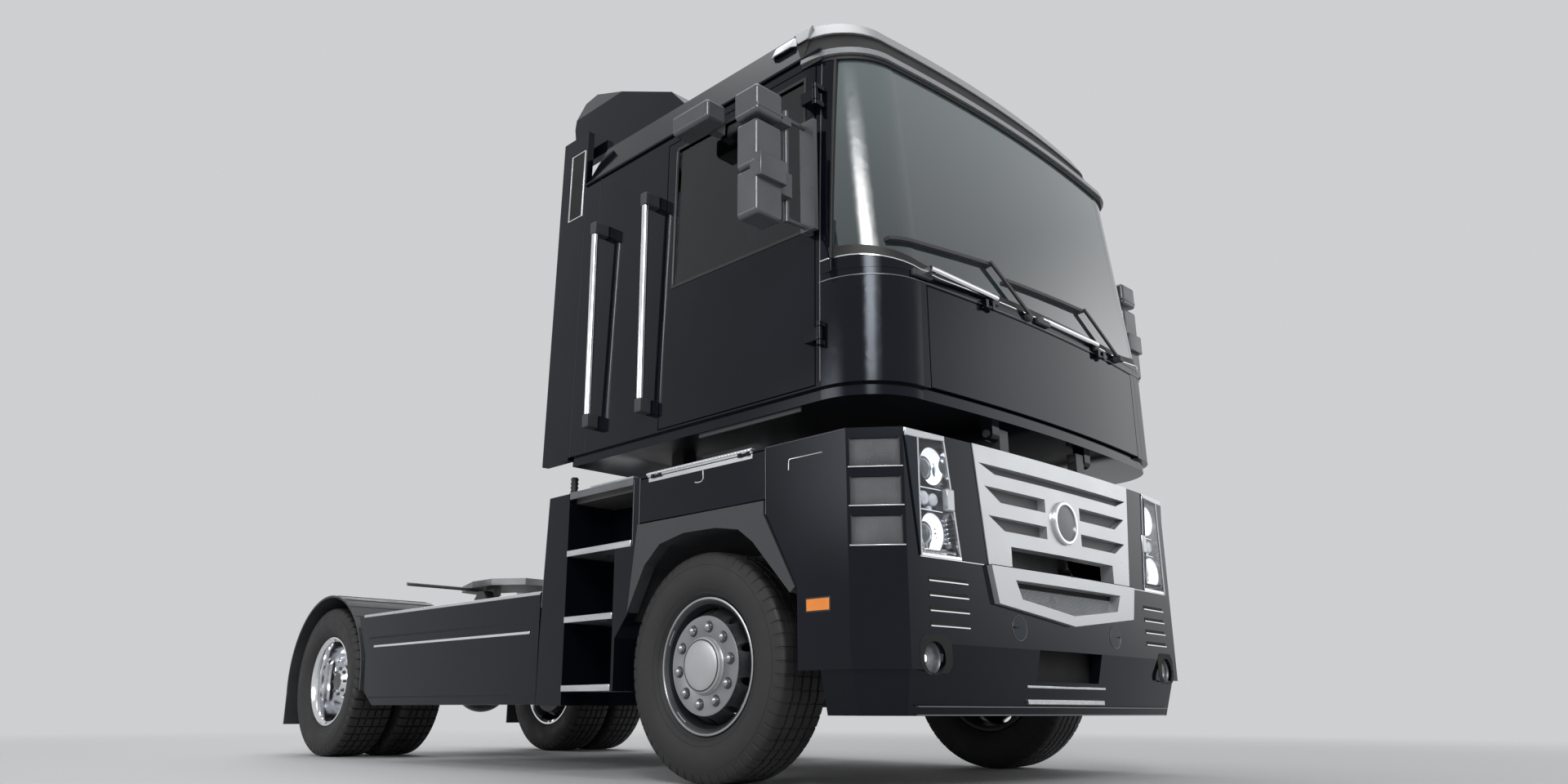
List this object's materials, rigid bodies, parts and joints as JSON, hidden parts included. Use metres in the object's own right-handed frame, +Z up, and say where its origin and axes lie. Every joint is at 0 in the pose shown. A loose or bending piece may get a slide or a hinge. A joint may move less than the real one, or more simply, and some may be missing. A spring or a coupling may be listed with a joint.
{
  "type": "tractor unit",
  "caption": "Two-axle tractor unit with a tall tilting cab above a separate access module, steered front wheels, twin rear wheels and a fifth wheel.",
  "frame": {"origin": "on the ground, at the middle of the truck's length and width", "axes": "+X towards the truck's left side, -Y towards its front, +Z up"},
  "size_m": [3.3, 5.82, 3.929],
  "materials": {
    "body_paint": "gloss",
    "chassis_paint": "satin",
    "arch_plastic": "matte",
    "silver_trim": "satin",
    "bright_metal": "gloss",
    "wheel_steel": "satin",
    "polished_rim": "gloss",
    "tyre_rubber": "matte",
    "tinted_glass": "gloss",
    "lamp_lens": "gloss",
    "tail_lens": "gloss",
    "cabin_trim": "matte",
    "seat_fabric": "matte",
    "cast_metal": "matte",
    "radiator_metal": "satin",
    "coupling_steel": "satin",
    "deck_plate": "satin",
    "tank_metal": "satin"
  },
  "bodies": {
    "chassis": {"arch_liners": "arch_plastic", "arch_trims": "arch_plastic", "bumper": "body_paint", "chassis_frame": "chassis_paint", "drive_line": "cast_metal", "engine_block": "cast_metal", "fifth_wheel_base": "chassis_paint", "front_axle": "chassis_paint", "front_lamps": "lamp_lens", "front_panels": "body_paint", "grille": "silver_trim", "lower_bezel": "silver_trim", "module_frame": "chassis_paint", "radiator": "radiator_metal", "rear_axle": "chassis_paint", "rear_deck": "deck_plate", "rear_fenders": "arch_plastic", "side_skirts": "body_paint", "side_tanks": "tank_metal", "springs": "chassis_paint", "step_columns": "body_paint", "step_treads": "deck_plate", "tail_lamps": "tail_lens"},
    "cab": {"cab_shell": "body_paint", "windscreen": "tinted_glass", "grab_handles": "bright_metal", "wipers": "arch_plastic", "side_deflectors": "body_paint", "roof_deflector": "body_paint", "seats": "seat_fabric", "dashboard": "cabin_trim"},
    "front_flap": {"front_flap": "body_paint"},
    "door_right": {"door_right": "body_paint", "door_glass_right": "tinted_glass", "mirror_right": "arch_plastic"},
    "door_left": {"door_left": "body_paint", "door_glass_left": "tinted_glass", "mirror_left": "arch_plastic"},
    "locker_lid_right": {"locker_lid_right": "body_paint"},
    "locker_lid_left": {"locker_lid_left": "body_paint"},
    "steering_knuckle_right": {"knuckle_right": "chassis_paint"},
    "steering_knuckle_left": {"knuckle_left": "chassis_paint"},
    "front_wheel_right": {"front_rim_right": "wheel_steel", "front_tyre_right": "tyre_rubber"},
    "front_wheel_left": {"front_rim_left": "wheel_steel", "front_tyre_left": "tyre_rubber"},
    "rear_wheels_right": {"rear_rims_right": "polished_rim", "rear_tyres_right": "tyre_rubber"},
    "rear_wheels_left": {"rear_rims_left": "polished_rim", "rear_tyres_left": "tyre_rubber"},
    "fifth_wheel": {"fifth_wheel_plate": "coupling_steel"}
  },
  "joints": [
    {"name": "steer_right", "type": "hinge", "parent": "chassis", "child": "steering_knuckle_right", "pos_m": [-0.93, -1.79, 0.498], "axis": [0, 0, 1], "range_deg": [-36, 36]},
    {"name": "steer_left", "type": "hinge", "parent": "chassis", "child": "steering_knuckle_left", "pos_m": [0.93, -1.79, 0.498], "axis": [0, 0, 1], "range_deg": [-36, 36]},
    {"name": "spin_front_right", "type": "hinge", "parent": "steering_knuckle_right", "child": "front_wheel_right", "pos_m": [-1.08, -1.79, 0.498], "axis": [1, 0, 0], "continuous": true},
    {"name": "spin_front_left", "type": "hinge", "parent": "steering_knuckle_left", "child": "front_wheel_left", "pos_m": [1.08, -1.79, 0.498], "axis": [1, 0, 0], "continuous": true},
    {"name": "spin_rear_right", "type": "hinge", "parent": "chassis", "child": "rear_wheels_right", "pos_m": [-1.08, 2.11, 0.498], "axis": [1, 0, 0], "continuous": true},
    {"name": "spin_rear_left", "type": "hinge", "parent": "chassis", "child": "rear_wheels_left", "pos_m": [1.08, 2.11, 0.498], "axis": [1, 0, 0], "continuous": true},
    {"name": "cab_tilt", "type": "hinge", "parent": "chassis", "child": "cab", "pos_m": [0, -2.79, 1.5], "axis": [1, 0, 0], "range_deg": [0, 60]},
    {"name": "door_right_hinge", "type": "hinge", "parent": "cab", "child": "door_right", "pos_m": [-1.266, -2.55, 2.4], "axis": [0, 0, 1], "range_deg": [0, 75]},
    {"name": "door_left_hinge", "type": "hinge", "parent": "cab", "child": "door_left", "pos_m": [1.266, -2.55, 2.4], "axis": [0, 0, -1], "range_deg": [0, 75]},
    {"name": "front_flap_hinge", "type": "hinge", "parent": "cab", "child": "front_flap", "pos_m": [0, -2.89, 2.055], "axis": [-1, 0, 0], "range_deg": [0, 80]},
    {"name": "locker_lid_right_hinge", "type": "hinge", "parent": "chassis", "child": "locker_lid_right", "pos_m": [-1.256, -1.79, 1.384], "axis": [0, 1, 0], "range_deg": [0, 75]},
    {"name": "locker_lid_left_hinge", "type": "hinge", "parent": "chassis", "child": "locker_lid_left", "pos_m": [1.256, -1.79, 1.384], "axis": [0, -1, 0], "range_deg": [0, 75]},
    {"name": "fifth_wheel_tilt", "type": "hinge", "parent": "chassis", "child": "fifth_wheel", "pos_m": [0, 1.51, 1.1], "axis": [1, 0, 0], "range_deg": [-12, 12]}
  ],
  "couplings": [
    {"joint": "steer_left", "follows": "steer_right", "ratio": 1}
  ]
}
